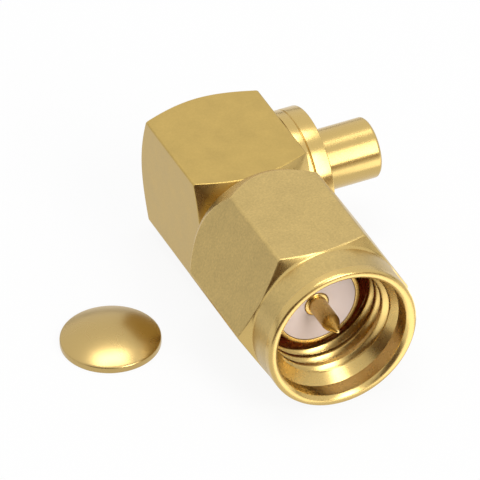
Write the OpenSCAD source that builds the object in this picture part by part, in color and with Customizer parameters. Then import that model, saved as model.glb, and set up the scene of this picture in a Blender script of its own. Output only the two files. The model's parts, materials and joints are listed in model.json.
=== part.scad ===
// Right-angle coaxial plug with a captive coupling nut, for semi-rigid cable of 2.2 mm.
// Frame: the mating axis is the Y axis and the plug faces -Y. The origin is the centre of the
// electrical reference plane, at the rim of the contact sleeve. The cable leaves along +X, and +Z
// is up. The plug lies on one flat of its nut, with the solder-access cap beside it.

/* [Mating interface] */
// Diameter of the centre contact's pin
pin_d = 0.914; // [0.9:0.002:0.94]
// Distance from the reference plane to the tip of the pin
pin_reach = 2.4; // [2.0:0.05:2.54]
// Length of the pin's tapered tip
pin_taper = 0.8; // [0.4:0.05:1.0]
// Wall of the sleeve that enters the jack, round the insulator
sleeve_wall = 0.226; // [0.2:0.002:0.27]
// Length of the sleeve from its rim to the gasket
sleeve_l = 1.95; // [1.85:0.05:2.2]
// Diameter of the insulator round the centre contact
insulator_d = 4.1; // [4.0:0.02:4.12]
// Diameter of the centre contact inside the insulator
contact_d = 1.27; // [1.2:0.01:1.3]

/* [Coupling nut] */
// Width across the flats of the hexagon
nut_af = 7.94; // [7.92:0.01:8.5]
// Length of the nut
nut_l = 9.4; // [8.8:0.1:10.4]
// Distance from the reference plane to the mouth of the nut
nut_reach = 3.0; // [2.6:0.05:3.4]
// Diameter of the round band at the mouth
band_d = 7.9; // [7.6:0.02:7.92]
// Length of the round band
band_l = 2.05; // [1.6:0.05:2.6]
// Diameter of the nut's rear face, where its long chamfer starts
nut_rear_d = 7.4; // [6.8:0.1:7.8]
// Angle between the rear chamfer and the axis
nut_chamfer_angle = 30; // [25:1:45]
// Diameter of the plain counterbore in the mouth
mouth_d = 6.8; // [6.6:0.05:7.0]
// Depth of the counterbore
mouth_depth = 1.0; // [0.6:0.05:1.3]
// Length of the cone from the counterbore down to the thread
entry_l = 0.6; // [0.3:0.05:0.8]
// Diameter across the crests of the internal thread
thread_crest_d = 5.72; // [5.68:0.01:5.8]
// Length of the thread
thread_l = 1.95; // [1.5:0.05:2.3]
// Depth of the thread, from its crests to the relief behind it
thread_depth = 0.34; // [0.3:0.01:0.42]

/* [Gasket and retaining ring] */
// Radial width of the gasket
gasket_w = 0.54; // [0.45:0.01:0.6]
// Thickness of the gasket
gasket_t = 1.0; // [0.8:0.05:1.2]
// Metal left in the barrel's neck under the retaining ring's groove
neck_wall = 0.22; // [0.18:0.01:0.26]
// Thickness of the retaining ring
ring_t = 0.45; // [0.35:0.05:0.6]
// Radial width of the retaining ring
ring_w = 0.42; // [0.36:0.02:0.46]
// Angle of the gap in the retaining ring
ring_gap_angle = 50; // [20:5:90]

/* [Elbow body] */
// Width of the square bar that the body is cut from
body_w = 6.1; // [6.0:0.05:6.6]
// Length of the body along the mating axis
body_l = 7.47; // [7.2:0.01:8.4]
// Distance from the body's front face to the cable's axis
cable_offset = 3.65; // [3.5:0.05:4.0]
// Width of the flat land round the cap's seat, on the bar's turned end face
face_land = 0.22; // [0.15:0.01:0.3]
// Angle of the turned chamfer at each end of the bar, from the end face
body_chamfer_angle = 30; // [20:1:35]
// Width of the bevel on the bar's long edges
body_edge = 0.08; // [0.02:0.02:0.2]
// Diameter of the solder chamber
chamber_d = 3.5; // [3.0:0.1:3.7]

/* [Cable ferrule] */
// Outer diameter of the cable's jacket
cable_d = 2.18; // [2.1:0.01:2.2]
// Diameter of the cable's inner insulation
cable_core_d = 1.68; // [1.5:0.02:1.7]
// Diameter of the cable's inner conductor
cable_wire_d = 0.51; // [0.45:0.01:0.6]
// Wall of the tube round the cable
tube_wall = 0.44; // [0.3:0.02:0.5]
// Length of the tube beyond its flange
tube_l = 3.3; // [2.5:0.1:5]
// Diameter of the flange
flange_d = 6.04; // [5.0:0.02:6.1]
// Thickness of the flange
flange_t = 1.38; // [1.1:0.02:1.8]
// Distance from the body to the middle of the groove round the flange
flange_groove_at = 0.52; // [0.3:0.02:0.8]
// Width of the groove round the flange
flange_groove_w = 0.1; // [0.06:0.02:0.16]
// Diameter of the shank that is pressed into the body
shank_d = 3.4; // [3.2:0.05:3.6]
// Length of the shank
shank_l = 1.05; // [0.8:0.05:1.1]

/* [Access cap] */
// Diameter of the cap
cap_d = 5.0; // [4.4:0.02:5.1]
// Thickness of the cap's sheet
cap_t = 0.4; // [0.25:0.01:0.45]
// Rise of the dome
cap_rise = 0.55; // [0.3:0.05:0.8]
// Depth of the cap's seat in the body
seat_depth = 0.6; // [0.4:0.05:0.8]
// Gap between the nut's corner and the cap that lies beside it
cap_gap = 1.16; // [0.6:0.02:6]
// Place of the cap along the mating axis, from the reference plane
cap_y = 6.35; // [0:0.05:12]

/* [Clearances] */
// Radial clearance between the nut and the neck it turns on
nut_clearance = 0.05; // [0.02:0.01:0.08]
// Gap between the nut's rear face and the body
nut_gap = 0.4; // [0.2:0.05:0.8]
// Clearance of the retaining ring in its grooves
ring_clearance = 0.05; // [0.02:0.01:0.08]
// Radial clearance of the pieces that are pushed together and bonded
seat_clearance = 0.01; // [0.005:0.005:0.03]
// Radial clearance of the cable and of the cap in their seats
solder_clearance = 0.03; // [0.01:0.005:0.05]
// Depth of the insulator's face below the reference plane
insulator_recess = 0.05; // [0:0.01:0.15]

/* [Hidden] */
$fn = 96;
gold = [0.80, 0.67, 0.38];
bright_gold = [0.86, 0.72, 0.40];
ptfe = [0.92, 0.90, 0.89];
silicone = [0.42, 0.13, 0.08];
over = 0.01;            // how far a cutter runs past the face it opens

// Places along the mating axis, from the reference plane
mouth_y = -nut_reach;
nut_rear_y = mouth_y + nut_l;
body_front_y = nut_rear_y + nut_gap;
cable_y = body_front_y + cable_offset;
body_rear_y = body_front_y + body_l;
neck_y = sleeve_l + gasket_t;
web_play = 0.12;        // from the neck's shoulder to the front of the nut's rear web
ring_setback = 1.0;     // from the front of the web to the retaining ring
ledge = 0.15;           // metal between the barrel's end and the ferrule's shank
web_y = neck_y + web_play;
ring_y = web_y + ring_setback;
barrel_end_y = cable_y - shank_d / 2 - ledge;
seat_y = body_rear_y - seat_depth;

// Barrel
seat_rise = 0.164;      // how far the gasket's seat stands over the sleeve
shank_step = 0.25;      // shoulder between the neck and the pressed shank
insulator_bore_r = insulator_d / 2 + seat_clearance;
sleeve_r = insulator_bore_r + sleeve_wall;
gasket_seat_r = sleeve_r + seat_rise;
barrel_groove_r = insulator_bore_r + neck_wall;
neck_r = barrel_groove_r + ring_w;
barrel_shank_r = neck_r - shank_step;

// Retaining ring, half in the barrel's groove and half in the nut's
ring_inner_r = neck_r - ring_w / 2;
ring_outer_r = ring_inner_r + ring_w;
nut_groove_r = ring_outer_r + ring_clearance;

// Gasket
gasket_inner_r = gasket_seat_r + seat_clearance;
gasket_outer_r = gasket_inner_r + gasket_w;

// Nut
nut_corner_r = nut_af / 2 / cos(30);
nut_floor_z = -nut_af / 2;
nut_bore_r = neck_r + nut_clearance;
shoulder_l = 0.3;       // axial depth of the cone between the band and the hexagon's corners
rim_wall = (band_d - mouth_d) / 2;
rim_edge = min(0.12, rim_wall / 3);     // bevel on the outer edge of the mouth
mouth_edge = min(0.2, rim_wall / 2);    // bevel on the inner edge of the mouth
bore_edge = 0.12;       // bevel on the rear edge of the bore
thread_start_y = mouth_y + mouth_depth + entry_l;
thread_end_y = thread_start_y + thread_l;
crest_r = thread_crest_d / 2;
gasket_room = 0.1;      // least room from the gasket to the wall of the relief round it
relief_r = max(crest_r + thread_depth, gasket_outer_r + gasket_room);

// Centre contact
barb_rise = 0.12;
barb_l = 0.6;
barb_setback = 1.3;     // from the neck's shoulder to the barb
barb_r = contact_d / 2 + barb_rise;
barb_y = neck_y + barb_setback;
slot_w = cable_wire_d + 2 * solder_clearance;
contact_end_y = cable_y + contact_d / 2;

// Ferrule
stop_l = 0.35;          // length of the narrow bore that stops the cable's jacket
flange_groove_depth = 0.6 * flange_groove_w;
cable_r = cable_d / 2 + solder_clearance;
tube_r = cable_r + tube_wall;
flange_x = body_w / 2;
tube_x = flange_x + flange_t;
ferrule_end_x = tube_x + tube_l;
shank_x = flange_x - shank_l;
cable_stop_x = shank_x + stop_l;
flange_groove_x = flange_x + flange_groove_at;

// Cap
cap_seat_r = cap_d / 2 + solder_clearance;
cap_x = -(nut_corner_r + cap_gap + cap_d / 2);

// Points of a circular arc from angle a to angle b
function arc(centre, r, a, b, steps = 12) =
    [for (i = [0 : steps]) centre + r * [cos(a + (b - a) * i / steps), sin(a + (b - a) * i / steps)]];

// Stands what is built along Z on the mating axis
module along_mating_axis() {
    rotate([-90, 0, 0]) children();
}

// Stands what is built along Z on the cable's axis
module along_cable_axis() {
    translate([0, cable_y, 0]) rotate([0, 90, 0]) children();
}

// A disc or hole of radius r from place a to place b along Z
module span(r, a, b) {
    translate([0, 0, a]) cylinder(r = r, h = b - a);
}

// A cone of radius r1 at place a and r2 at place b along Z
module taper(r1, r2, a, b) {
    translate([0, 0, a]) cylinder(r1 = r1, r2 = r2, h = b - a);
}

// Square bar, its two ends turned to flat discs with conical chamfers that bow its sides
module body_bar() {
    side = body_w / 2;
    face_r = cap_seat_r + face_land;
    outer_r = side * sqrt(2);
    chamfer_l = (outer_r - face_r) * tan(body_chamfer_angle);
    intersection() {
        along_mating_axis()
            translate([0, 0, body_front_y]) linear_extrude(body_l)
                polygon([for (turn = [0 : 90 : 270], p = [[side, -side + body_edge],
                                                          [side, side - body_edge]])
                    [p.x * cos(turn) - p.y * sin(turn), p.x * sin(turn) + p.y * cos(turn)]]);
        along_mating_axis()
            rotate_extrude()
                polygon([[0, body_front_y], [face_r, body_front_y],
                         [outer_r, body_front_y + chamfer_l], [outer_r, body_rear_y - chamfer_l],
                         [face_r, body_rear_y], [0, body_rear_y]]);
    }
}

module body_block() {
    color(gold)
    difference() {
        body_bar();
        along_mating_axis() {
            span(barrel_shank_r + seat_clearance, body_front_y - over, barrel_end_y);
            span(chamber_d / 2, barrel_end_y - over, seat_y + over);
            span(cap_seat_r, seat_y, body_rear_y + over);
        }
        along_cable_axis() {
            span(cable_core_d / 2 + solder_clearance, 0, shank_x + over);
            span(shank_d / 2 + seat_clearance, shank_x, flange_x + over);
        }
    }
}

// Contact sleeve, gasket seat, grooved neck and pressed shank, turned in one piece
module front_barrel() {
    rim = 0.06;     // bevel on the sleeve's rim
    root = 0.15;    // length of the cone at the sleeve's root
    color(bright_gold)
    along_mating_axis()
        difference() {
            union() {
                taper(sleeve_r - rim, sleeve_r, 0, rim);
                span(sleeve_r, rim, sleeve_l);
                taper(sleeve_r, gasket_seat_r, sleeve_l, sleeve_l + root);
                span(gasket_seat_r, sleeve_l + root, neck_y + over);
                span(neck_r, neck_y, body_front_y);
                span(barrel_shank_r, body_front_y - over, barrel_end_y);
            }
            span(insulator_bore_r, -over, barrel_end_y + over);
            difference() {
                span(2 * neck_r, ring_y - ring_clearance, ring_y + ring_t + ring_clearance);
                span(barrel_groove_r, 0, body_front_y);
            }
        }
}

// Outline of the nut's turning: band, shoulder cone, and the long chamfer at the rear
module nut_envelope() {
    band_r = band_d / 2;
    rear_r = nut_rear_d / 2;
    shoulder_y = mouth_y + band_l;
    chamfer_l = (nut_corner_r - rear_r) / tan(nut_chamfer_angle);
    rotate_extrude()
        polygon([[0, mouth_y], [band_r - rim_edge, mouth_y], [band_r, mouth_y + rim_edge],
                 [band_r, shoulder_y], [nut_corner_r, shoulder_y + shoulder_l],
                 [nut_corner_r, nut_rear_y - chamfer_l], [rear_r, nut_rear_y], [0, nut_rear_y]]);
}

// Stepped bore of the nut, from its mouth to its rear
module nut_bore() {
    mouth_r = mouth_d / 2;
    runout = relief_r - crest_r;
    taper(mouth_r + mouth_edge + over, mouth_r, mouth_y - over, mouth_y + mouth_edge);
    span(mouth_r, mouth_y, mouth_y + mouth_depth);
    taper(mouth_r, crest_r, mouth_y + mouth_depth - over, thread_start_y);
    span(crest_r, thread_start_y - over, thread_end_y + over);
    taper(crest_r, relief_r, thread_end_y, thread_end_y + runout);
    span(relief_r, thread_end_y + runout - over, web_y);
    span(nut_bore_r, web_y - over, nut_rear_y + over);
    span(nut_groove_r, ring_y - ring_clearance, ring_y + ring_t + ring_clearance);
    taper(nut_bore_r, nut_bore_r + bore_edge, nut_rear_y - bore_edge, nut_rear_y + over);
}

module coupling_nut() {
    color(gold)
    along_mating_axis()
        difference() {
            intersection() {
                span_hexagon();
                nut_envelope();
            }
            nut_bore();
        }
}

// Hexagonal bar of the nut, with a flat on top and one below
module span_hexagon() {
    translate([0, 0, mouth_y]) cylinder(r = nut_corner_r, h = nut_l, $fn = 6);
}

// Split spring ring that holds the nut on the neck
module retaining_ring() {
    color(bright_gold)
    along_mating_axis()
        translate([0, 0, ring_y])
            difference() {
                cylinder(r = ring_outer_r, h = ring_t);
                translate([0, 0, -over]) cylinder(r = ring_inner_r, h = ring_t + 2 * over);
                translate([0, 0, -over])
                    linear_extrude(ring_t + 2 * over)
                        polygon([[0, 0],
                                 4 * neck_r * [-sin(ring_gap_angle / 2), cos(ring_gap_angle / 2)],
                                 4 * neck_r * [sin(ring_gap_angle / 2), cos(ring_gap_angle / 2)]]);
            }
}

// Flat sealing ring at the root of the sleeve, against the neck's shoulder
module gasket() {
    inner_r = gasket_inner_r;
    outer_r = gasket_outer_r;
    bevel = 0.12;
    color(silicone)
    along_mating_axis()
        rotate_extrude()
            polygon([[inner_r, sleeve_l + bevel], [inner_r + bevel, sleeve_l],
                     [outer_r - bevel, sleeve_l], [outer_r, sleeve_l + bevel],
                     [outer_r, neck_y - bevel], [outer_r - bevel, neck_y], [inner_r, neck_y]]);
}

// Insulator, bored for the centre contact and recessed for its barb
module insulator() {
    color(ptfe)
    along_mating_axis()
        difference() {
            span(insulator_d / 2, insulator_recess, barrel_end_y);
            span(contact_d / 2 + seat_clearance, -over, barrel_end_y + over);
            taper(contact_d / 2, barb_r + seat_clearance, barb_y - seat_clearance, barb_y + barb_l);
        }
}

// Centre contact: tapered pin, body with a retaining barb, and a slotted end for the wire
module centre_contact() {
    pin_r = pin_d / 2;
    tip_r = 0.09;
    body_r = contact_d / 2;
    color(bright_gold)
    difference() {
        along_mating_axis()
            rotate_extrude()
                polygon(concat(
                    arc([0, tip_r - pin_reach], tip_r, -90, -30, 4),
                    [[pin_r, pin_taper - pin_reach], [pin_r, 0], [body_r, 0],
                     [body_r, barb_y], [barb_r, barb_y + barb_l - over], [body_r, barb_y + barb_l],
                     [body_r, contact_end_y], [0, contact_end_y]]));
        translate([-contact_d, cable_y - slot_w / 2, -slot_w / 2])
            cube([2 * contact_d, contact_d + slot_w, slot_w]);
    }
}

// Flanged tube that takes the cable, with a shank pressed into the body
module cable_ferrule() {
    flange_r = flange_d / 2;
    end_edge = 0.12;
    color(bright_gold)
    along_cable_axis()
        difference() {
            union() {
                span(shank_d / 2, shank_x, flange_x + over);
                span(flange_r, flange_x, tube_x);
                span(tube_r, tube_x - over, ferrule_end_x - end_edge);
                taper(tube_r, tube_r - end_edge, ferrule_end_x - end_edge, ferrule_end_x);
            }
            // groove round the flange, close to the body
            rotate_extrude()
                polygon([[flange_r - flange_groove_depth, flange_groove_x],
                         [flange_r + over, flange_groove_x - flange_groove_w / 2],
                         [flange_r + over, flange_groove_x + flange_groove_w / 2]]);
            span(cable_core_d / 2 + solder_clearance, shank_x - over, ferrule_end_x);
            span(cable_r, cable_stop_x, ferrule_end_x + over);
            taper(cable_r, cable_r + end_edge, ferrule_end_x - end_edge, ferrule_end_x + over);
        }
}

// Dished disc with a round edge that closes the solder chamber. It lies dome up on the surface
// under the nut
module access_cap() {
    edge_r = cap_t / 2;
    edge_x = cap_d / 2 - edge_r;
    mid_r = (edge_x * edge_x + cap_rise * cap_rise) / (2 * cap_rise);
    centre_z = edge_r + cap_rise - mid_r;
    color(gold)
    translate([cap_x, cap_y, nut_floor_z])
        rotate_extrude() {
            translate([edge_x, edge_r]) circle(r = edge_r);
            intersection() {
                translate([0, centre_z])
                    difference() {
                        circle(r = mid_r + edge_r);
                        circle(r = mid_r - edge_r);
                    }
                polygon([[0, centre_z], 2 * [edge_x, edge_r] - [0, centre_z], [0, mid_r]]);
            }
        }
}

body_block();
front_barrel();
coupling_nut();
retaining_ring();
gasket();
insulator();
centre_contact();
cable_ferrule();
access_cap();
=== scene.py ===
import json
import math

import bmesh
import bpy
from mathutils import Matrix, Vector


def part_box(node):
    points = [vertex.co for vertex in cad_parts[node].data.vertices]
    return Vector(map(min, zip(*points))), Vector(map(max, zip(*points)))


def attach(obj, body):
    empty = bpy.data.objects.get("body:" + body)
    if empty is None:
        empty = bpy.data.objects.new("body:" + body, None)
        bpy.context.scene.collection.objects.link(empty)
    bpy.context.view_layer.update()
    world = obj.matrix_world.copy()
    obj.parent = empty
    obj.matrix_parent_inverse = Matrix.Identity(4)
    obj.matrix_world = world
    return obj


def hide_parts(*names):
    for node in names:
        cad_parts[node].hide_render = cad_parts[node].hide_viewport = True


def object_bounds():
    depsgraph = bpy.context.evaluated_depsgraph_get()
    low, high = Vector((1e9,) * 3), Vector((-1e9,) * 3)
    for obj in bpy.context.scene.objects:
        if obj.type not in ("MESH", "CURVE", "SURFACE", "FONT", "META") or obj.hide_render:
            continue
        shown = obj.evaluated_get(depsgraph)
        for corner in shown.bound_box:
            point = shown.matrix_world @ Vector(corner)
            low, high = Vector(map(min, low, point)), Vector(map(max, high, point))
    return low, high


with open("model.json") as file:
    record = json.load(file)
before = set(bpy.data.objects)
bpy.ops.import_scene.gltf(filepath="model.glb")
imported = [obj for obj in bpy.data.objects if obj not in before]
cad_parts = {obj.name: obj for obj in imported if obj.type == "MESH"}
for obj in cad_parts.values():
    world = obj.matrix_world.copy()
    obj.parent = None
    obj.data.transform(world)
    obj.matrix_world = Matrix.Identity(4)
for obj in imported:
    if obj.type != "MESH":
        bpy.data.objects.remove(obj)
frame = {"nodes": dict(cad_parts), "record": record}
cad_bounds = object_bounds()

bl_info = {
    "name": "Right-angle coaxial plug",
    "version": (1, 0, 0),
    "blender": (4, 5, 0),
    "location": "3D View > Sidebar > Coaxial plug",
    "description": "Builds a gold-plated right-angle coaxial plug on its CAD frame",
    "category": "Mesh",
}

MM = 0.001

# Finishes, as places in a turned piece's list of materials
SATIN = 0
BRIGHT = 1

# Sides of the nut's and the body's bars
HEXAGON = 6
SQUARE = 4

# Small roundings and bevels
CRISP = 0.02 * MM
FINE = 0.03 * MM
PLAIN = 0.04 * MM
EASED = 0.06 * MM
BEVEL = 0.12 * MM

# Columns of points round a turned piece
LARGE_TURN = 144
MIDDLE_TURN = 128
SMALL_TURN = 96

# A rounding takes at most this share of the stretch on each side of its corner
ROUNDED_SHARE = 0.45
# Points nearer than this are one point
MERGE_DISTANCE = 0.0004 * MM
# A larger angle between two faces is a crisp edge
CRISP_ANGLE = math.radians(38)

# Share of the floor that is plain white where it is seen. The rest keeps the shadow
FLOOR_WHITE_SHARE = 0.92
FLOOR_SHEET = (0.9, 0.9, 0.9, 1.0)
# Strength of the room as light, where it is white as it is seen
ROOM_LIGHT = 0.7

LAMP_DISTANCE = 0.6
# Name, azimuth and elevation in degrees, width, height, and brightness, where 1 is white
SOFTBOXES = (
    ("overhead_softbox", 166, 83, 0.34, 0.18, 6.0),
    ("front_softbox", 17.5, 33, 0.21, 0.485, 7.0))

# Bright patches of the table, mirrored by the rim, the bore and the underside of the tube:
# name, x and y of the middle, width and depth in millimetres
GLOWS = (
    ("front_glow", 2.5, -9, 8.2, 10),
    ("side_glow", 15, 0, 13, 10))
GLOW_RADIANCE = 1.25
GLOW_LIFT = 0.1 * MM

# Screens stand at the far distance, and the front ones also cover the table from the near one on
SCREEN_NEAR = 0.018
SCREEN_FAR = 0.8
SCREEN_LIFT = 0.0002
SCREEN_COLUMNS = 36
# Name, azimuths of the sides, nearest distance, height, material, and its colour's property
SCREENS = (
    ("left_screen", (-75, -5), SCREEN_NEAR, 0.52, "brown_velvet", "screen"),
    ("right_screen", (-5, 40), SCREEN_NEAR, 0.12, "tan_velvet", "side_screen"),
    ("back_screen", (40, 285), SCREEN_FAR, 0.08, "grey_card", "card"))

# What the frame says: the box of each CAD node, and the stated interfaces
nut_low, nut_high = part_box("coupling_nut")
block_low, block_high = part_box("body_block")
barrel_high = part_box("front_barrel")[1]
gasket_low, gasket_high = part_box("gasket")
insulator_low, insulator_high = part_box("insulator")
contact_low, contact_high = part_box("centre_contact")
ferrule_low, ferrule_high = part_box("cable_ferrule")
ring_low, ring_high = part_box("retaining_ring")
cap_low, cap_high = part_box("access_cap")
mounts = {mount["name"]: mount for mount in frame["record"]["mounts"]}


def mount_radius(name):
    """The radius of a stated interface."""
    return mounts[name]["dims"]["r_mm"] * MM


def linear(hex_colour):
    """An sRGB hex colour as linear red, green and blue."""
    channels = [int(hex_colour[i:i + 2], 16) / 255 for i in (0, 2, 4)]
    return tuple(c / 12.92 if c <= 0.04045 else ((c + 0.055) / 1.055) ** 2.4 for c in channels)


def size(name, description, metres):
    return bpy.props.FloatProperty(
        name=name, description=description, default=metres, min=0.0, precision=5, unit="LENGTH")


def colour(name, description, hex_colour):
    return bpy.props.FloatVectorProperty(
        name=name, description=description, default=linear(hex_colour), size=3, min=0.0, max=1.0,
        subtype="COLOR")


def angle_of(name, description, degrees):
    return bpy.props.FloatProperty(
        name=name, description=description, default=math.radians(degrees), unit="ROTATION")


class NutSizes(bpy.types.PropertyGroup):
    """Sizes of the coupling nut."""
    band_radius: size("Band radius", "Radius of the round band at the mouth", 3.92 * MM)
    shoulder_place: size("Shoulder place", "From the mouth to the cone's end, at the corners", 2.35 * MM)
    shoulder_angle: angle_of("Shoulder angle", "Angle between the band's cone and the axis", 64.7)
    shoulder_fillet: size("Shoulder fillet", "Radius of the fillet before the cone", 0.22 * MM)
    rear_radius: size("Rear radius", "Radius of the rear face, inside its long chamfer", 3.7 * MM)
    rear_angle: angle_of("Rear angle", "Angle between the rear chamfer and the axis", 30)
    mouth_radius: size("Mouth radius", "Radius of the counterbore", 3.4 * MM)
    mouth_depth: size("Mouth depth", "Depth of the counterbore", 1.0 * MM)
    mouth_edge: size("Mouth edge", "Bevel on the inner edge of the mouth", 0.2 * MM)
    rim_edge: size("Rim edge", "Rounding of the outer edge of the mouth", 0.2 * MM)
    entry: size("Entry", "Length of the cone from the counterbore down to the thread", 0.6 * MM)
    crest_radius: size("Crest radius", "Radius of the thread's crests", mount_radius("coupling_thread"))
    root_radius: size("Root radius", "Radius of the thread's roots, 1/4 inch across", 3.175 * MM)
    pitch: size("Pitch", "Pitch of the thread, 36 turns to the inch", 25.4 / 36 * MM)
    thread_length: size("Thread length", "Length of the full thread", 1.95 * MM)
    relief_radius: size("Relief radius", "Radius of the relief behind the thread", 3.2 * MM)
    web: size("Web", "Distance from the gasket's seat to the nut's rear web", 0.12 * MM)
    bore_clearance: size("Bore clearance", "Clearance of the rear bore on the neck", 0.05 * MM)
    groove: size("Groove", "Depth of the ring's groove in the rear bore", 0.21 * MM)
    thread_turn: bpy.props.FloatProperty(
        name="Thread turn", description="How far the thread's start is turned, in turns", default=0.28)
    thread_softness: size("Thread softness", "Rounding of the thread's edges", 0.1 * MM)
    corner: size("Corner", "Rounding of the hexagon's corners", 0.25 * MM)
    softness: size("Softness", "Rounding of the outer edges", 0.06 * MM)


class BodySizes(bpy.types.PropertyGroup):
    """Sizes of the elbow body."""
    face_radius: size("Face radius", "Radius of the turned end faces", 2.75 * MM)
    chamfer_angle: angle_of("Chamfer angle", "Angle of the end chamfers, from the end face", 30)
    seat_radius: size("Seat radius", "Radius of the cap's seat", mount_radius("cap_seat"))
    seat_depth: size("Seat depth", "Depth of the cap's seat", 0.6 * MM)
    chamber_radius: size("Chamber radius", "Radius of the solder chamber", 1.75 * MM)
    corner: size("Corner", "Rounding of the bar's long edges", 0.12 * MM)
    softness: size("Softness", "Rounding of the turned edges", 0.05 * MM)


class FerruleSizes(bpy.types.PropertyGroup):
    """Sizes of the cable ferrule."""
    shank_radius: size("Shank radius", "Radius of the shank inside the body", 1.7 * MM)
    flange: size("Flange", "Thickness of the flange", 1.38 * MM)
    groove_place: size("Groove place", "Distance of the flange's groove from the body", 0.52 * MM)
    groove_width: size("Groove width", "Width of the flange's groove", 0.1 * MM)
    groove_depth: size("Groove depth", "Depth of the flange's groove", 0.06 * MM)
    tube_radius: size("Tube radius", "Outer radius of the tube", 1.56 * MM)
    bore_radius: size("Bore radius", "Radius of the cable's bore", mount_radius("cable_socket"))
    core_radius: size("Core radius", "Radius of the bore for the cable's core", 0.87 * MM)
    stop: size("Stop", "Distance from the shank's end to the cable's stop", 0.35 * MM)
    softness: size("Softness", "Rounding of the edges", 0.05 * MM)


class CoreSizes(bpy.types.PropertyGroup):
    """Sizes of the barrel, the gasket, the insulator and the centre contact."""
    sleeve_radius: size("Sleeve radius", "Radius of the contact sleeve", mount_radius("outer_contact"))
    gasket_seat: size("Gasket seat", "Radius of the sleeve's root, under the gasket", 2.45 * MM)
    root: size("Root", "Length of the cone at the sleeve's root", 0.15 * MM)
    shank_radius: size("Shank radius", "Radius of the barrel's shank in the body", 2.45 * MM)
    groove_radius: size("Groove radius", "Radius of the ring's groove in the neck", 2.28 * MM)
    ring_clearance: size("Ring clearance", "Clearance of the ring in its grooves", 0.05 * MM)
    seat_clearance: size("Seat clearance", "Clearance of the bonded pieces", 0.01 * MM)
    pin_radius: size("Pin radius", "Radius of the pin", mount_radius("contact_pin"))
    pin_taper: size("Pin taper", "Length of the pin's tapered tip", 0.8 * MM)
    tip_radius: size("Tip radius", "Radius of the pin's tip", 0.09 * MM)
    contact_radius: size("Contact radius", "Radius of the contact in the insulator", 0.635 * MM)
    collar_edge: size("Collar edge", "Bevel on the contact's front collar", 0.05 * MM)
    barb_place: size("Barb place", "Distance from the reference plane to the barb", 4.25 * MM)
    barb_length: size("Barb length", "Length of the barb", 0.6 * MM)
    slot: size("Slot", "Width of the solder slot", 0.57 * MM)
    softness: size("Softness", "Rounding of the barrel's and the insulator's edges", 0.03 * MM)


class CapSizes(bpy.types.PropertyGroup):
    """Sizes of the loose access cap."""
    thickness: size("Thickness", "Thickness of the cap's sheet", 0.4 * MM)
    edge_rounding: size("Edge rounding", "Rounding of the cap's sheared edge", 0.08 * MM)


class Finishes(bpy.types.PropertyGroup):
    """Colours of the finishes."""
    bar_gold: colour("Bar gold", "Gold plate over drawn and tumbled brass bar", "C1A45E")
    nut_gold: colour("Nut gold", "Gold plate over the coarser grain of the nut", "C3A96C")
    turned_gold: colour("Turned gold", "Gold plate over turned brass", "CDB06E")
    stamped_gold: colour("Stamped gold", "Gold plate over stamped sheet", "BDA268")
    # Painted shade: the insulator's white is greyed, as if shaded inside the nut's bore
    ptfe: colour("PTFE", "White fluoropolymer of the insulator", "DDCCC4")
    # Painted light: the gasket's red-brown is lighter than the rubber, standing in for light in the
    # shaded gap inside the nut
    silicone: colour("Silicone", "Red-brown rubber of the gasket", "D85A40")
    screen: colour("Screen", "Brown cloth of the front screens that the metal mirrors", "5A4028")
    side_screen: colour("Side screen", "Tan cloth of the screen to the right of the front one", "8F7350")
    card: colour("Card", "Grey card of the screen behind the plug", "9C978F")
    floor: colour("Floor", "White studio surface", "FDFDFD")


class StageSettings(bpy.types.PropertyGroup):
    """Camera and floor."""
    camera_place: bpy.props.FloatVectorProperty(
        name="Camera place", description="Place of the camera", subtype="TRANSLATION", unit="LENGTH",
        default=(-126.56 * MM, -277.85 * MM, 237.62 * MM))
    azimuth: angle_of("Azimuth", "Turn of the camera round the plug, from its mouth", -23.8)
    elevation: angle_of("Elevation", "Angle from which the camera looks down", 37.42)
    roll: angle_of("Roll", "Roll of the camera", -1.204)
    lens: bpy.props.FloatProperty(name="Lens", description="Focal length in millimetres", default=600.0)
    floor_half: size("Floor", "Half the width of the floor", 1.5)


# ---------------- geometry

def rounded(points, softness, steps=4, closed=True):
    """An outline with its corners bent round, and the finish of each stretch.

    A point is (along, radius, finish of the stretch after it), and may add a softness of its own.
    """
    coordinates = []
    finishes = []
    count = len(points)
    for i, point in enumerate(points):
        own = softness if len(point) < 4 else point[3]
        corner = Vector(point[:2])
        if own == 0 or (not closed and i in (0, count - 1)):
            coordinates.append(corner)
            finishes.append(point[2])
            continue
        before = Vector(points[i - 1][:2]) - corner
        after = Vector(points[(i + 1) % count][:2]) - corner
        start = corner + before.normalized() * min(own, ROUNDED_SHARE * before.length)
        end = corner + after.normalized() * min(own, ROUNDED_SHARE * after.length)
        for k in range(steps + 1):
            t = k / steps
            coordinates.append(start * (1 - t) ** 2 + corner * 2 * t * (1 - t) + end * t ** 2)
            finishes.append(point[2])
    return coordinates, finishes


def mating(along, radius, angle):
    """A point round the mating axis."""
    return Vector((radius * math.cos(angle), along, radius * math.sin(angle)))


def cable(along, radius, angle):
    """A point round the cable's axis."""
    cable_y = (ferrule_low.y + ferrule_high.y) / 2
    return Vector((along, cable_y + radius * math.cos(angle), radius * math.sin(angle)))


def upright(along, radius, angle):
    """A point round the upright axis of the loose cap."""
    centre = (cap_low + cap_high) / 2
    return Vector((centre.x + radius * math.cos(angle), centre.y + radius * math.sin(angle), along))


def even_angles(count):
    """Angles all round, the first of them again at the end."""
    return [2 * math.pi * i / count for i in range(count + 1)]


def bar_radius(sides, apothem, softness, angle):
    """Distance from the axis to a bar with rounded corners, one of them at angle 0."""
    half = math.pi / sides
    turn = abs((angle + half) % (2 * half) - half)
    centre = (apothem - softness) / math.cos(half)
    limit = math.atan2(softness * math.sin(half), centre + softness * math.cos(half))
    if turn < limit:
        return centre * math.cos(turn) + math.sqrt(softness ** 2 - (centre * math.sin(turn)) ** 2)
    return apothem / math.cos(half - turn)


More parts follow.
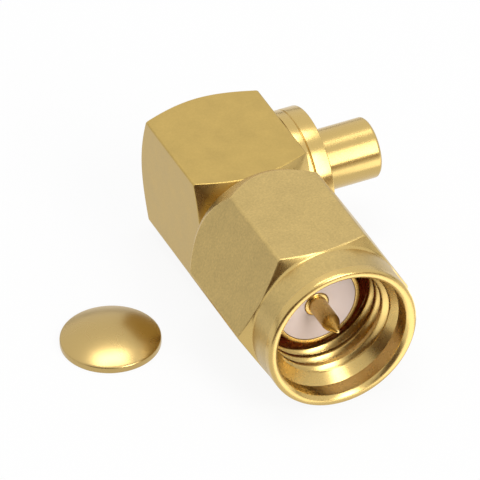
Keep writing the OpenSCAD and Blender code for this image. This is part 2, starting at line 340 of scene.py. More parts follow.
def bar_angles(sides, apothem, softness, corner=0.0):
    """Angles round a bar, close together where its corners are rounded."""
    half = math.pi / sides
    centre = (apothem - softness) / math.cos(half)
    limit = math.atan2(softness * math.sin(half), centre + softness * math.cos(half))
    corner_steps = 3
    coarsest = math.radians(2)
    flat_steps = math.ceil((half - limit) / coarsest)
    offsets = [limit * k / corner_steps for k in range(corner_steps)]
    offsets += [limit + (half - limit) * k / flat_steps for k in range(flat_steps)]
    whole = [-half] + [-offset for offset in reversed(offsets[1:])] + offsets
    return [corner + 2 * half * side + offset for side in range(sides) for offset in whole] + [
        corner + 2 * math.pi - half]


def turned(name, outline, place, angles, softness, materials, closed=True):
    """A turned mesh. outline is a list of points, or a function that gives it for an angle."""
    columns = []
    finishes = []
    for angle in angles:
        points = outline(angle) if callable(outline) else outline
        section, finishes = rounded(points, softness, closed=closed)
        columns.append([place(along, radius, angle) for along, radius in section])
    mesh = bpy.data.meshes.new(name)
    for material in materials:
        mesh.materials.append(material)
    shape = bmesh.new()
    grid = [[shape.verts.new(point) for point in column] for column in columns]
    rows = len(grid[0])
    for column, following in zip(grid, grid[1:]):
        for row in range(rows if closed else rows - 1):
            upper = (row + 1) % rows
            face = shape.faces.new((column[row], column[upper], following[upper], following[row]))
            face.material_index = min(finishes[row], len(materials) - 1)
            face.smooth = True
    bmesh.ops.remove_doubles(shape, verts=shape.verts, dist=MERGE_DISTANCE)
    bmesh.ops.recalc_face_normals(shape, faces=shape.faces)
    loose = [edge for edge in shape.edges if len(edge.link_faces) != 2]
    if loose:
        raise RuntimeError(f"{name} isn't closed: {len(loose)} edges")
    shape.to_mesh(mesh)
    shape.free()
    piece = bpy.data.objects.new(name, mesh)
    bpy.context.scene.collection.objects.link(piece)
    return piece


def cut(piece, cutter):
    """Cuts one mesh out of another."""
    modifier = piece.modifiers.new("cut", "BOOLEAN")
    modifier.operation = "DIFFERENCE"
    modifier.object = cutter
    modifier.solver = "EXACT"
    graph = bpy.context.evaluated_depsgraph_get()
    mesh = bpy.data.meshes.new_from_object(piece.evaluated_get(graph))
    piece.modifiers.clear()
    piece.data = mesh
    bpy.data.objects.remove(cutter)


def box_mesh(name, low, high):
    """A plain box, used only to cut."""
    shape = bmesh.new()
    bmesh.ops.create_cube(shape, size=1.0)
    for vertex in shape.verts:
        vertex.co = Vector([a + (b - a) * (c + 0.5) for a, b, c in zip(low, high, vertex.co)])
    mesh = bpy.data.meshes.new(name)
    shape.to_mesh(mesh)
    shape.free()
    cutter = bpy.data.objects.new(name, mesh)
    bpy.context.scene.collection.objects.link(cutter)
    return cutter


def finish_piece(piece, body, node):
    """Gives a piece its shading, and its place on the frame."""
    piece.data.set_sharp_from_angle(angle=CRISP_ANGLE)
    weighted = piece.modifiers.new("even shading", "WEIGHTED_NORMAL")
    weighted.keep_sharp = True
    weighted.weight = 80
    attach(piece, body)
    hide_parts(node)


# ---------------- materials

def add_node(tree, kind, inputs=None, **settings):
    """Adds a node. inputs are values or the sockets that feed it."""
    node = tree.nodes.new(kind)
    for key, value in settings.items():
        setattr(node, key, value)
    for key, value in (inputs or {}).items():
        if isinstance(value, bpy.types.NodeSocket):
            tree.links.new(value, node.inputs[key])
        else:
            node.inputs[key].default_value = value
    return node


def per_metre(millimetres):
    """The texture scale at which a pattern repeats about every so many millimetres."""
    return 1 / (millimetres * MM)


def new_material(name):
    """A material and its empty node tree, or the finished material and None."""
    material = bpy.data.materials.get(name)
    if material:
        return material, None
    material = bpy.data.materials.new(name)
    material.use_nodes = True
    material.node_tree.nodes.clear()
    return material, material.node_tree


def finish(key):
    """The colour of a finish, as a socket takes it."""
    return (*getattr(bpy.context.scene.plug_finishes, key), 1.0)


def satin_gold_plate(name, tint, cloud, grain, fleck, dimple):
    """Gold plate over tumbled brass: a matt grain that spreads each reflection, with a few flecks.

    cloud, grain and fleck say how strongly each pattern shows, and dimple is the depth of the grain.
    """
    material, tree = new_material(name)
    if tree is None:
        return material
    place = add_node(tree, "ShaderNodeTexCoord").outputs["Object"]
    clouds = add_node(tree, "ShaderNodeTexNoise", {
        "Vector": place, "Scale": per_metre(1.1), "Detail": 4.0, "Roughness": 0.6})
    # Tumbling leaves dimples of about 0.05 mm, drawn at 0.11 mm so that they show
    grains = add_node(tree, "ShaderNodeTexNoise", {
        "Vector": place, "Scale": per_metre(0.11), "Detail": 3.0, "Roughness": 0.65})
    flecks = add_node(tree, "ShaderNodeTexNoise", {
        "Vector": place, "Scale": per_metre(0.16), "Detail": 1.0})
    clouded, grained, flecked = [
        add_node(tree, "ShaderNodeMapRange", {
            "Value": pattern.outputs["Fac"], "From Min": low, "From Max": high,
            "To Min": 1.0 - fall, "To Max": 1.0 + rise})
        for pattern, low, high, fall, rise in (
            (clouds, 0.3, 0.7, cloud, cloud),
            (grains, 0.3, 0.7, grain, grain),
            (flecks, 0.66, 0.74, 0.0, fleck))]
    tone = add_node(tree, "ShaderNodeMath", {
        0: clouded.outputs["Result"], 1: grained.outputs["Result"]}, operation="MULTIPLY")
    tone = add_node(tree, "ShaderNodeMath", {
        0: tone.outputs["Value"], 1: flecked.outputs["Result"]}, operation="MULTIPLY")
    gold = add_node(tree, "ShaderNodeVectorMath", {
        0: tint, "Scale": tone.outputs["Value"]}, operation="SCALE")
    rough = add_node(tree, "ShaderNodeMapRange", {
        "Value": clouds.outputs["Fac"], "To Min": 0.32, "To Max": 0.42})
    bump = add_node(tree, "ShaderNodeBump", {
        "Height": grains.outputs["Fac"], "Strength": 0.5, "Distance": dimple})
    shader = add_node(tree, "ShaderNodeBsdfPrincipled", {
        "Base Color": gold.outputs["Vector"], "Metallic": 1.0, "Roughness": rough.outputs["Result"],
        "Normal": bump.outputs["Normal"]})
    add_node(tree, "ShaderNodeOutputMaterial", {"Surface": shader.outputs["BSDF"]})
    return material


def bar_plate():
    """The elbow body's long faces: drawn bar, lightly tumbled, smoother than the nut."""
    return satin_gold_plate("satin_gold_bar", bpy.context.scene.plug_finishes.bar_gold,
                            cloud=0.05, grain=0.04, fleck=0.0, dimple=0.003 * MM)


def nut_plate():
    """The nut's flats and band: a coarser grain, with pale flecks where it rubbed."""
    return satin_gold_plate("satin_gold_nut", bpy.context.scene.plug_finishes.nut_gold,
                            cloud=0.05, grain=0.12, fleck=0.10, dimple=0.007 * MM)


def turned_gold_plate(across="Y"):
    """Gold plate over turned brass: bright, with fine rings left by the tool round one axis."""
    material, tree = new_material("turned_gold_plate_" + across.lower())
    if tree is None:
        return material
    place = add_node(tree, "ShaderNodeTexCoord").outputs["Object"]
    stretch = [per_metre(125)] * 3
    stretch["XYZ".index(across)] = per_metre(0.05)
    stretched = add_node(tree, "ShaderNodeMapping", {"Vector": place, "Scale": stretch})
    # The feed marks are too fine for the render, so they are drawn about 0.05 mm apart
    rings = add_node(tree, "ShaderNodeTexNoise", {
        "Vector": stretched.outputs["Vector"], "Scale": 1.0, "Detail": 2.0})
    smears = add_node(tree, "ShaderNodeTexNoise", {
        "Vector": place, "Scale": per_metre(0.5), "Detail": 3.0})
    rough = add_node(tree, "ShaderNodeMapRange", {
        "Value": smears.outputs["Fac"], "To Min": 0.22, "To Max": 0.32})
    bump = add_node(tree, "ShaderNodeBump", {
        "Height": rings.outputs["Fac"], "Strength": 0.2, "Distance": 0.004 * MM})
    # The marks spread a reflection along the axis, and leave it sharp round it
    round_axis = add_node(tree, "ShaderNodeTangent", direction_type="RADIAL", axis=across)
    shader = add_node(tree, "ShaderNodeBsdfPrincipled", {
        "Base Color": finish("turned_gold"), "Metallic": 1.0, "Roughness": rough.outputs["Result"],
        "Anisotropic": 0.7, "Anisotropic Rotation": 0.25, "Tangent": round_axis.outputs["Tangent"],
        "Normal": bump.outputs["Normal"]})
    add_node(tree, "ShaderNodeOutputMaterial", {"Surface": shader.outputs["BSDF"]})
    return material


def patterned(name, millimetres, detail, strength, depth, surface, roughness=None):
    """A material with one fine pattern, that repeats every so many millimetres.

    strength and depth are its relief, and surface holds the shader's constant values. roughness is
    the range that the pattern spreads it over, where it does.
    """
    material, tree = new_material(name)
    if tree is None:
        return material
    place = add_node(tree, "ShaderNodeTexCoord").outputs["Object"]
    pattern = add_node(tree, "ShaderNodeTexNoise", {
        "Vector": place, "Scale": per_metre(millimetres), "Detail": detail})
    inputs = dict(surface)
    if roughness:
        rough = add_node(tree, "ShaderNodeMapRange", {
            "Value": pattern.outputs["Fac"], "To Min": roughness[0], "To Max": roughness[1]})
        inputs["Roughness"] = rough.outputs["Result"]
    bump = add_node(tree, "ShaderNodeBump", {
        "Height": pattern.outputs["Fac"], "Strength": strength, "Distance": depth})
    inputs["Normal"] = bump.outputs["Normal"]
    shader = add_node(tree, "ShaderNodeBsdfPrincipled", inputs)
    add_node(tree, "ShaderNodeOutputMaterial", {"Surface": shader.outputs["BSDF"]})
    return material


def stamped_gold_plate():
    """Gold plate over stamped brass sheet: smooth and shiny, with the faint waves of the press tool."""
    return patterned("stamped_gold_plate", 1.6, detail=2.0, strength=0.25, depth=0.02 * MM, surface={
        "Base Color": finish("stamped_gold"), "Metallic": 1.0}, roughness=(0.24, 0.32))


def machined_ptfe():
    """PTFE rod, faced on a lathe: waxy, slightly see-through white, greyed with painted shade from the
    nut's bore, with a soft, broad gloss.
    """
    return patterned("machined_ptfe", 0.3, detail=3.0, strength=0.2, depth=0.01 * MM, surface={
        "Base Color": finish("ptfe"), "Roughness": 0.42, "IOR": 1.38, "Subsurface Weight": 0.25,
        "Subsurface Radius": (1.0, 0.9, 0.85), "Subsurface Scale": 0.3 * MM})


def moulded_silicone():
    """Silicone rubber, moulded: matt red-brown, painted lighter to stand in for light in the shaded gap
    inside the nut, with a faint powdery surface.
    """
    return patterned("moulded_silicone", 0.08, detail=3.0, strength=0.3, depth=0.008 * MM, surface={
        "Base Color": finish("silicone"), "Roughness": 0.6, "IOR": 1.41})


# ---------------- pieces

def thread_turn(sizes):
    """One pitch of the internal thread, from the middle of a crest to the next, as (along, radius)."""
    depth = sizes.root_radius - sizes.crest_radius
    # A unified thread has flanks at 30 degrees and a flat of an eighth of the pitch at its root
    flank = depth * math.tan(math.radians(30))
    root = sizes.pitch / 8
    crest = sizes.pitch - root - 2 * flank
    half_crest = crest / 2
    steps = 2
    corners = [(half_crest * k / steps, sizes.crest_radius, BRIGHT, 0.0) for k in range(steps)]
    corners += [(half_crest, sizes.crest_radius, BRIGHT),
                (half_crest + flank, sizes.root_radius, BRIGHT),
                (half_crest + flank + root, sizes.root_radius, BRIGHT),
                (sizes.pitch - half_crest, sizes.crest_radius, BRIGHT)]
    corners += [(sizes.pitch - half_crest * k / steps, sizes.crest_radius, BRIGHT, 0.0)
                for k in range(steps - 1, -1, -1)]
    return rounded(corners, sizes.thread_softness, steps=3, closed=False)[0][:-1]


class PLUG_OT_coupling_nut(bpy.types.Operator):
    """Builds the hexagonal coupling nut with its round band, long rear chamfer and right-hand thread"""
    bl_idname = "plug.coupling_nut"
    bl_label = "Coupling nut"

    def execute(self, context):
        sizes = context.scene.plug_nut
        core = context.scene.plug_core
        apothem = nut_high.z
        corner = nut_high.x
        mouth = nut_low.y
        rear = nut_high.y
        slope = math.tan(sizes.rear_angle)
        counterbore_end = mouth + sizes.mouth_depth
        thread_start = counterbore_end + sizes.entry
        thread_end = thread_start + sizes.thread_length
        relief_start = thread_end + sizes.relief_radius - sizes.crest_radius
        web = gasket_high.y + sizes.web
        bore = barrel_high.x + sizes.bore_clearance
        groove_low = ring_low.y - core.ring_clearance
        groove_high = ring_high.y + core.ring_clearance
        turn_points = thread_turn(sizes)
        overrun = 3
        turns = math.ceil((relief_start - counterbore_end) / sizes.pitch) + overrun
        # The band is polished for a short way behind its rounded rim
        satin_start = mouth + 2.5 * sizes.rim_edge

        def plain_radius(along):
            """Radius of the bore without its thread."""
            if along < thread_start:
                share = (along - counterbore_end) / sizes.entry
                return sizes.mouth_radius + share * (sizes.crest_radius - sizes.mouth_radius)
            return min(sizes.relief_radius, sizes.crest_radius + max(0.0, along - thread_end))

        lean = sizes.shoulder_angle
        fillet = sizes.shoulder_fillet
        fillet_height = fillet * (1 - math.cos(lean))
        cone_length = (corner - sizes.band_radius - fillet_height) / math.tan(lean)
        shoulder = mouth + sizes.shoulder_place - cone_length - fillet * math.sin(lean)

        def shoulder_points(radius):
            """The fillet and the cone from the band up to a radius, as (along, radius)."""
            height = radius - sizes.band_radius
            turn = math.acos(1 - min(height, fillet_height) / fillet)
            rest = max(0.0, height - fillet_height)
            steps = 8
            arc = [(shoulder + fillet * math.sin(turn * k / steps),
                    sizes.band_radius + fillet * (1 - math.cos(turn * k / steps)))
                   for k in range(steps)]
            return arc + [(shoulder + fillet * math.sin(turn) + rest / math.tan(lean), radius)]

        def outline(angle):
            radius = bar_radius(HEXAGON, apothem, sizes.corner, angle)
            *fillet_points, flat_start = shoulder_points(radius)
            points = [(along, at, BRIGHT, 0.0) for along, at in fillet_points]
            points += [
                (*flat_start, SATIN),
                (rear - (radius - sizes.rear_radius) / slope, radius, BRIGHT),
                (rear, sizes.rear_radius, BRIGHT),
                (rear, bore + BEVEL, BRIGHT),
                (rear - BEVEL, bore, BRIGHT),
                (groove_high, bore, BRIGHT, 0.0),
                (groove_high, bore + sizes.groove, BRIGHT, 0.0),
                (groove_low, bore + sizes.groove, BRIGHT, 0.0),
                (groove_low, bore, BRIGHT, 0.0),
                (web, bore, BRIGHT, FINE),
                (web, sizes.relief_radius, BRIGHT, FINE)]
            # A right-hand helix runs towards the mouth as the angle grows. It overruns both ends of
            # the threaded length, and what lies outside is pressed flat
            early = overrun / 2 + sizes.thread_turn + angle / (2 * math.pi)
            start = counterbore_end - sizes.pitch * early
            for k in reversed(range(turns)):
                for offset, thread in reversed(turn_points):
                    along = start + k * sizes.pitch + offset
                    along = min(relief_start, max(counterbore_end, along))
                    points.append((along, max(thread, plain_radius(along)), BRIGHT, 0.0))
            points += [
                (mouth + sizes.mouth_edge, sizes.mouth_radius, BRIGHT),
                (mouth, sizes.mouth_radius + sizes.mouth_edge, BRIGHT, BEVEL),
                (mouth, sizes.band_radius, BRIGHT, sizes.rim_edge),
                (satin_start, sizes.band_radius, SATIN, 0.0)]
            return points

        angles = bar_angles(HEXAGON, apothem, sizes.corner)
        nut = turned("threaded_nut", outline, mating, angles, sizes.softness,
                     [nut_plate(), turned_gold_plate()])
        finish_piece(nut, "nut", "coupling_nut")
        return {"FINISHED"}


class PLUG_OT_elbow_body(bpy.types.Operator):
    """Builds the elbow body: square bar with turned ends, solder chamber, cap seat and ferrule hole"""
    bl_idname = "plug.elbow_body"
    bl_label = "Elbow body"

    def execute(self, context):
        sizes = context.scene.plug_body
        core = context.scene.plug_core
        ferrule = context.scene.plug_ferrule
        half = block_high.x
        front = block_low.y
        rear = block_high.y
        slope = math.tan(sizes.chamfer_angle)
        shank = core.shank_radius + core.seat_clearance
        seat = rear - sizes.seat_depth
        quarter = math.pi / 4

        def outline(angle):
            radius = bar_radius(SQUARE, half, sizes.corner, angle - quarter)
            chamfer = (radius - sizes.face_radius) * slope
            return [
                (front + chamfer, radius, SATIN),
                (rear - chamfer, radius, BRIGHT),
                (rear, sizes.face_radius, BRIGHT, PLAIN),
                (rear, sizes.seat_radius, BRIGHT, CRISP),
                (seat, sizes.seat_radius, BRIGHT, CRISP),
                (seat, sizes.chamber_radius, BRIGHT, CRISP),
                (barrel_high.y, sizes.chamber_radius, BRIGHT, 0.0),
                (barrel_high.y, shank, BRIGHT, 0.0),
                (front, shank, BRIGHT, CRISP),
                (front, sizes.face_radius, BRIGHT, PLAIN)]

        finishes = [bar_plate(), turned_gold_plate()]
        angles = bar_angles(SQUARE, half, sizes.corner, corner=quarter)
        body = turned("elbow_bar", outline, mating, angles, sizes.softness, finishes)
        hole_radius = ferrule.shank_radius + core.seat_clearance
        outside = half + 0.1 * MM
        hole = [
            (0.0, 0.0, BRIGHT), (0.0, ferrule.core_radius, BRIGHT),
            (ferrule_low.x, ferrule.core_radius, BRIGHT), (ferrule_low.x, hole_radius, BRIGHT),
            (outside, hole_radius, BRIGHT), (outside, 0.0, BRIGHT)]
        around = even_angles(SMALL_TURN)
        cut(body, turned("ferrule_hole", hole, cable, around, 0.0, finishes, closed=False))
        finish_piece(body, "connector", "body_block")
        return {"FINISHED"}


class PLUG_OT_cable_ferrule(bpy.types.Operator):
    """Builds the flanged tube that takes the cable"""
    bl_idname = "plug.cable_ferrule"
    bl_label = "Cable ferrule"

    def execute(self, context):
        sizes = context.scene.plug_ferrule
        inner = ferrule_low.x
        face = block_high.x
        end = ferrule_high.x
        flange_radius = (ferrule_high.y - ferrule_low.y) / 2
        groove = face + sizes.groove_place
        half_width = sizes.groove_width / 2
        flange_end = face + sizes.flange
        stop = inner + sizes.stop
        outline = [
            (inner, sizes.core_radius, BRIGHT),
            (inner, sizes.shank_radius, BRIGHT),
            (face, sizes.shank_radius, BRIGHT, 0.0),
            (face, flange_radius, BRIGHT, FINE),
            (groove - half_width, flange_radius, BRIGHT, CRISP),
            (groove, flange_radius - sizes.groove_depth, BRIGHT, CRISP / 2),
            (groove + half_width, flange_radius, BRIGHT, CRISP),
            (flange_end, flange_radius, BRIGHT),
            (flange_end, sizes.tube_radius, BRIGHT),
            (end - BEVEL, sizes.tube_radius, BRIGHT),
            (end, sizes.tube_radius - BEVEL, BRIGHT),
            (end, sizes.bore_radius + BEVEL, BRIGHT),
            (end - BEVEL, sizes.bore_radius, BRIGHT),
            (stop, sizes.bore_radius, BRIGHT),
            (stop, sizes.core_radius, BRIGHT)]
        tube = turned("flanged_tube", outline, cable, even_angles(LARGE_TURN), sizes.softness,
                      [turned_gold_plate(across="X")])
        finish_piece(tube, "connector", "cable_ferrule")
        return {"FINISHED"}


class PLUG_OT_barrel(bpy.types.Operator):
    """Builds the barrel with its contact sleeve, and finishes the retaining ring inside the nut"""
    bl_idname = "plug.barrel"
    bl_label = "Barrel and retaining ring"

    def execute(self, context):
        sizes = context.scene.plug_core
        neck = gasket_high.y
        neck_radius = barrel_high.x
        bore = insulator_high.x + sizes.seat_clearance
        groove_low = ring_low.y - sizes.ring_clearance
        groove_high = ring_high.y + sizes.ring_clearance
        outline = [
            (0.0, bore, BRIGHT),
            (0.0, sizes.sleeve_radius - EASED, BRIGHT),
            (EASED, sizes.sleeve_radius, BRIGHT),
            (gasket_low.y, sizes.sleeve_radius, BRIGHT),
            (gasket_low.y + sizes.root, sizes.gasket_seat, BRIGHT),
            (neck, sizes.gasket_seat, BRIGHT),
            (neck, neck_radius, BRIGHT),
            (groove_low, neck_radius, BRIGHT),
            (groove_low, sizes.groove_radius, BRIGHT),
            (groove_high, sizes.groove_radius, BRIGHT),
            (groove_high, neck_radius, BRIGHT),
            (block_low.y, neck_radius, BRIGHT),
            (block_low.y, sizes.shank_radius, BRIGHT),
            (barrel_high.y, sizes.shank_radius, BRIGHT),
            (barrel_high.y, bore, BRIGHT)]
        barrel = turned("contact_barrel", outline, mating, even_angles(LARGE_TURN), sizes.softness,
                        [turned_gold_plate()])
        finish_piece(barrel, "connector", "front_barrel")
        for slot in frame["nodes"]["retaining_ring"].material_slots:
            slot.material = turned_gold_plate()
        return {"FINISHED"}


class PLUG_OT_gasket(bpy.types.Operator):
    """Builds the sealing ring at the root of the contact sleeve"""
    bl_idname = "plug.gasket"
    bl_label = "Gasket"

    def execute(self, context):
        sizes = context.scene.plug_core
        inner = sizes.gasket_seat + sizes.seat_clearance
        outline = [
            (gasket_low.y + BEVEL, inner, SATIN),
            (gasket_low.y, inner + BEVEL, SATIN),
            (gasket_low.y, gasket_high.x - BEVEL, SATIN),
            (gasket_low.y + BEVEL, gasket_high.x, SATIN),
            (gasket_high.y - BEVEL, gasket_high.x, SATIN),
            (gasket_high.y, gasket_high.x - BEVEL, SATIN),
            (gasket_high.y, inner, SATIN)]
        gasket = turned("sealing_ring", outline, mating, even_angles(MIDDLE_TURN), EASED,
                        [moulded_silicone()])
        finish_piece(gasket, "connector", "gasket")
        return {"FINISHED"}


class PLUG_OT_insulator(bpy.types.Operator):
    """Builds the white insulator round the centre contact"""
    bl_idname = "plug.insulator"
    bl_label = "Insulator"

    def execute(self, context):
        sizes = context.scene.plug_core
        hole = sizes.contact_radius + sizes.seat_clearance
        barb = contact_high.x + sizes.seat_clearance
        barb_end = sizes.barb_place + sizes.barb_length
        outline = [
            (insulator_low.y, hole, SATIN),
            (insulator_low.y, insulator_high.x, SATIN),
            (insulator_high.y, insulator_high.x, SATIN),
            (insulator_high.y, hole, SATIN),
            (barb_end, hole, SATIN, 0.0),
            (barb_end, barb, SATIN, 0.0),
            (sizes.barb_place, hole, SATIN, 0.0)]
        insulator = turned("white_insulator", outline, mating, even_angles(MIDDLE_TURN),
                           sizes.softness, [machined_ptfe()])
        finish_piece(insulator, "connector", "insulator")
        return {"FINISHED"}


class PLUG_OT_centre_contact(bpy.types.Operator):
    """Builds the centre contact: tapered pin, barbed body and slotted solder end"""
    bl_idname = "plug.centre_contact"
    bl_label = "Centre contact"

    def execute(self, context):
        sizes = context.scene.plug_core
        tip = contact_low.y
        end = contact_high.y
        barb_end = sizes.barb_place + sizes.barb_length
        tip_flat = 0.7 * sizes.tip_radius
        tip_bevel = 0.6 * sizes.tip_radius
        taper_start = 1.1 * sizes.tip_radius
        taper_blend = 0.15 * MM
        collar_bevel = 0.6 * sizes.collar_edge
        outline = [
            (tip, 0.0, BRIGHT),
            (tip, tip_flat, BRIGHT),
            (tip + tip_bevel, taper_start, BRIGHT),
            (tip + sizes.pin_taper, sizes.pin_radius, BRIGHT, taper_blend),
            (0.0, sizes.pin_radius, BRIGHT, CRISP),
            (0.0, sizes.contact_radius - sizes.collar_edge, BRIGHT),
            (collar_bevel, sizes.contact_radius, BRIGHT),
            (sizes.barb_place, sizes.contact_radius, BRIGHT),
            (barb_end, contact_high.x, BRIGHT),
            (barb_end, sizes.contact_radius, BRIGHT),
            (end, sizes.contact_radius, BRIGHT),
            (end, 0.0, BRIGHT)]
        contact = turned("pin_contact", outline, mating, even_angles(SMALL_TURN), PLAIN,
                         [turned_gold_plate()], closed=False)
        reach = 2 * sizes.contact_radius
        slot_low = end - sizes.contact_radius - sizes.slot / 2
        cutter = box_mesh("wire_slot", (-reach, slot_low, -sizes.slot / 2),
                          (reach, end + sizes.slot, sizes.slot / 2))
        cut(contact, cutter)
        finish_piece(contact, "connector", "centre_contact")
        return {"FINISHED"}


class PLUG_OT_access_cap(bpy.types.Operator):
    """Builds the domed access cap that lies beside the plug"""
    bl_idname = "plug.access_cap"
    bl_label = "Access cap"

    def execute(self, context):
        sizes = context.scene.plug_cap
        edge = sizes.thickness / 2
        floor = cap_low.z
        rise = cap_high.z - floor - 2 * edge
        reach = (cap_high.x - cap_low.x) / 2 - edge
        middle = (reach ** 2 + rise ** 2) / (2 * rise)
        centre = floor + edge + rise - middle
        lean = math.asin(reach / middle)
        side = reach + edge
        outer = middle + edge
        inner = middle - edge
        # The outer arc ends short of its edge, to leave room for a rounding
        turn = math.asin((side - 1.5 * sizes.edge_rounding) / outer)

        def arc(radius, last, steps):
            """Points of the dome from its middle outwards, as (along, radius)."""
            return [(centre + radius * math.cos(last * k / steps),
                     radius * math.sin(last * k / steps), SATIN, 0.0) for k in range(steps + 1)]

        outline = arc(outer, turn, 40)
        outline += [(centre + math.sqrt(outer ** 2 - side ** 2), side, SATIN, sizes.edge_rounding),
                    (floor, side, SATIN, sizes.edge_rounding / 2)]
        outline += reversed(arc(inner, lean, 24))
        cap = turned("domed_cap", outline, upright, even_angles(LARGE_TURN), 0.0,
                     [stamped_gold_plate()], closed=False)
        finish_piece(cap, "connector", "access_cap")
        return {"FINISHED"}


# ---------------- stage

def seen_share(tree):
    """A socket that is 1 on camera, glossy and transmission rays, and 0 on rays that carry light."""
    path = add_node(tree, "ShaderNodeLightPath")
    seen = add_node(tree, "ShaderNodeMath", {
        0: path.outputs["Is Camera Ray"], 1: path.outputs["Is Glossy Ray"]}, operation="MAXIMUM")
    seen = add_node(tree, "ShaderNodeMath", {
        0: seen.outputs[0], 1: path.outputs["Is Transmission Ray"]}, operation="MAXIMUM")
    return seen.outputs[0]


def studio_floor_material():
    """White acrylic sheet, seen as white, that keeps a part of the object's shadow."""
    material, tree = new_material("white_acrylic_floor")
    if tree is None:
        return material
    share = add_node(tree, "ShaderNodeMath", {
        0: seen_share(tree), 1: FLOOR_WHITE_SHARE}, operation="MULTIPLY")
    sheet = add_node(tree, "ShaderNodeBsdfDiffuse", {"Color": FLOOR_SHEET})
    white = add_node(tree, "ShaderNodeEmission", {"Color": finish("floor"), "Strength": 1.0})
    mix = add_node(tree, "ShaderNodeMixShader", {
        0: share.outputs[0], 1: sheet.outputs["BSDF"], 2: white.outputs["Emission"]})
    add_node(tree, "ShaderNodeOutputMaterial", {"Surface": mix.outputs["Shader"]})
    return material


def soft_world():
    """A pale room: white where it is seen or reflected, and dimmer as light."""
    world = bpy.data.worlds.new("pale_room")
    world.use_nodes = True
    tree = world.node_tree
    tree.nodes.clear()
    seen = seen_share(tree)
    room = (1.0, 1.0, 1.0, 1.0)
    light = add_node(tree, "ShaderNodeBackground", {"Color": room, "Strength": ROOM_LIGHT})
    white = add_node(tree, "ShaderNodeBackground", {"Color": room, "Strength": 1.0})
    mix = add_node(tree, "ShaderNodeMixShader", {
        0: seen, 1: light.outputs["Background"], 2: white.outputs["Background"]})
    add_node(tree, "ShaderNodeOutputWorld", {"Surface": mix.outputs["Shader"]})
    return world


def direction(azimuth, elevation):
    """The way from the plug to a place at an azimuth, from its mouth, and an elevation, in degrees."""
    turn = math.radians(azimuth)
    rise = math.radians(elevation)
    return Vector((math.sin(turn) * math.cos(rise), -math.cos(turn) * math.cos(rise), math.sin(rise)))


def add_lamp(name, place, away, width, height, radiance):
    """An area lamp that shines against the direction away. radiance is its brightness; 1 is white."""
    light = bpy.data.lights.new(name, "AREA")
    light.shape = "RECTANGLE"
    light.size = width
    light.size_y = height
    light.energy = radiance * math.pi * width * height
    lamp = bpy.data.objects.new(name, light)
    lamp.location = place
    lamp.rotation_euler = away.to_track_quat("Z", "Y").to_euler()
    lamp.visible_camera = False
    bpy.context.scene.collection.objects.link(lamp)
    return lamp


def screen_cloth(name, tint):
    """The matt cloth or card of the screens that give polished metal its dark reflections."""
    material, tree = new_material(name)
    if tree is None:
        return material
    shader = add_node(tree, "ShaderNodeBsdfPrincipled", {"Base Color": finish(tint), "Roughness": 0.9})
    add_node(tree, "ShaderNodeOutputMaterial", {"Surface": shader.outputs["BSDF"]})
    return material


def add_screen(name, azimuths, nearest, height, material):
    """A screen round the plug, seen only in what mirrors it. azimuths are its sides in degrees."""
    profile = [(SCREEN_FAR, SCREEN_LIFT), (SCREEN_FAR, height)]
    if nearest < SCREEN_FAR:
        profile.insert(0, (nearest, SCREEN_LIFT))
    rows = len(profile)
    first, last = azimuths
    points = []
    for c in range(SCREEN_COLUMNS + 1):
        away = direction(first + (last - first) * c / SCREEN_COLUMNS, 0.0)
        points += [away * distance + Vector((0, 0, cad_bounds[0][2] + lift))
                   for distance, lift in profile]
    mesh = bpy.data.meshes.new(name)
    mesh.from_pydata(points, [], [
        (c * rows + r, c * rows + r + 1, (c + 1) * rows + r + 1, (c + 1) * rows + r)
        for c in range(SCREEN_COLUMNS) for r in range(rows - 1)])
    mesh.materials.append(material)
    screen = bpy.data.objects.new(name, mesh)
    screen.visible_camera = False
    screen.visible_diffuse = False
    screen.visible_shadow = False
    bpy.context.scene.collection.objects.link(screen)


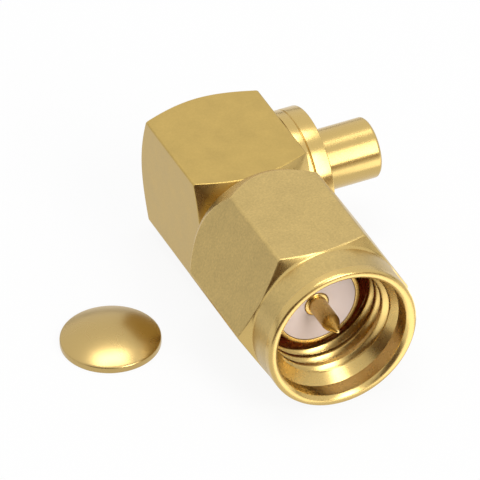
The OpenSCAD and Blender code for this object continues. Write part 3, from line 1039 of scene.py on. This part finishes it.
class PLUG_OT_stage(bpy.types.Operator):
    """Sets up the floor, the lamps, the pale room and the camera"""
    bl_idname = "plug.stage"
    bl_label = "Stage"

    def execute(self, context):
        scene = context.scene
        settings = scene.plug_stage
        half = settings.floor_half
        level = cad_bounds[0][2]
        mesh = bpy.data.meshes.new("studio_floor")
        mesh.from_pydata([(-half, -half, level), (half, -half, level), (half, half, level),
                          (-half, half, level)], [], [(0, 1, 2, 3)])
        mesh.materials.append(studio_floor_material())
        floor = bpy.data.objects.new("studio_floor", mesh)
        scene.collection.objects.link(floor)

        scene.world = soft_world()
        for name, azimuth, elevation, width, height, radiance in SOFTBOXES:
            away = direction(azimuth, elevation)
            add_lamp(name, away * LAMP_DISTANCE, away, width, height, radiance)
        for name, x, y, width, depth in GLOWS:
            glow = add_lamp(name, Vector((x * MM, y * MM, level + GLOW_LIFT)), Vector((0, 0, -1)),
                            width * MM, depth * MM, GLOW_RADIANCE)
            glow.visible_diffuse = False
        for name, azimuths, nearest, height, cloth, tint in SCREENS:
            add_screen(name, azimuths, nearest, height, screen_cloth(cloth, tint))

        back = direction(math.degrees(settings.azimuth), math.degrees(settings.elevation))
        side = (-back).cross(Vector((0, 0, 1))).normalized()
        up = side.cross(-back)
        roll = settings.roll
        right = side * math.cos(roll) + up * math.sin(roll)
        top = up * math.cos(roll) - side * math.sin(roll)
        lens = bpy.data.cameras.new("camera")
        lens.lens = settings.lens
        lens.sensor_width = 36.0
        lens.clip_start = 0.05
        lens.clip_end = 20.0
        camera = bpy.data.objects.new("camera", lens)
        camera.matrix_world = Matrix.Translation(settings.camera_place) @ Matrix(
            (right, top, back)).transposed().to_4x4()
        scene.collection.objects.link(camera)
        scene.camera = camera
        scene.view_settings.view_transform = "Standard"
        return {"FINISHED"}


class PLUG_PT_panel(bpy.types.Panel):
    """Lists the pieces of the plug, in the order in which they are built"""
    bl_label = "Coaxial plug"
    bl_space_type = "VIEW_3D"
    bl_region_type = "UI"
    bl_category = "Coaxial plug"

    def draw(self, context):
        column = self.layout.column(align=True)
        for operator in OPERATORS:
            column.operator(operator.bl_idname)
        for name in GROUPS:
            box = self.layout.box()
            group = getattr(context.scene, name)
            box.label(text=group.__doc__ or name)
            for key in group.__annotations__:
                box.prop(group, key)


OPERATORS = (PLUG_OT_coupling_nut, PLUG_OT_elbow_body, PLUG_OT_cable_ferrule, PLUG_OT_barrel,
             PLUG_OT_gasket, PLUG_OT_insulator, PLUG_OT_centre_contact, PLUG_OT_access_cap,
             PLUG_OT_stage)
GROUPS = {"plug_nut": NutSizes, "plug_body": BodySizes, "plug_ferrule": FerruleSizes,
          "plug_core": CoreSizes, "plug_cap": CapSizes, "plug_finishes": Finishes,
          "plug_stage": StageSettings}


def register():
    for name, group in GROUPS.items():
        bpy.utils.register_class(group)
        setattr(bpy.types.Scene, name, bpy.props.PointerProperty(type=group))
    for operator in OPERATORS:
        bpy.utils.register_class(operator)
    bpy.utils.register_class(PLUG_PT_panel)


def unregister():
    bpy.utils.unregister_class(PLUG_PT_panel)
    for operator in reversed(OPERATORS):
        bpy.utils.unregister_class(operator)
    for name, group in reversed(GROUPS.items()):
        delattr(bpy.types.Scene, name)
        bpy.utils.unregister_class(group)


def main():
    register()
    bpy.ops.plug.coupling_nut()
    bpy.ops.plug.elbow_body()
    bpy.ops.plug.cable_ferrule()
    bpy.ops.plug.barrel()
    bpy.ops.plug.gasket()
    bpy.ops.plug.insulator()
    bpy.ops.plug.centre_contact()
    bpy.ops.plug.access_cap()
    bpy.ops.plug.stage()


if __name__ == "__main__":
    main()
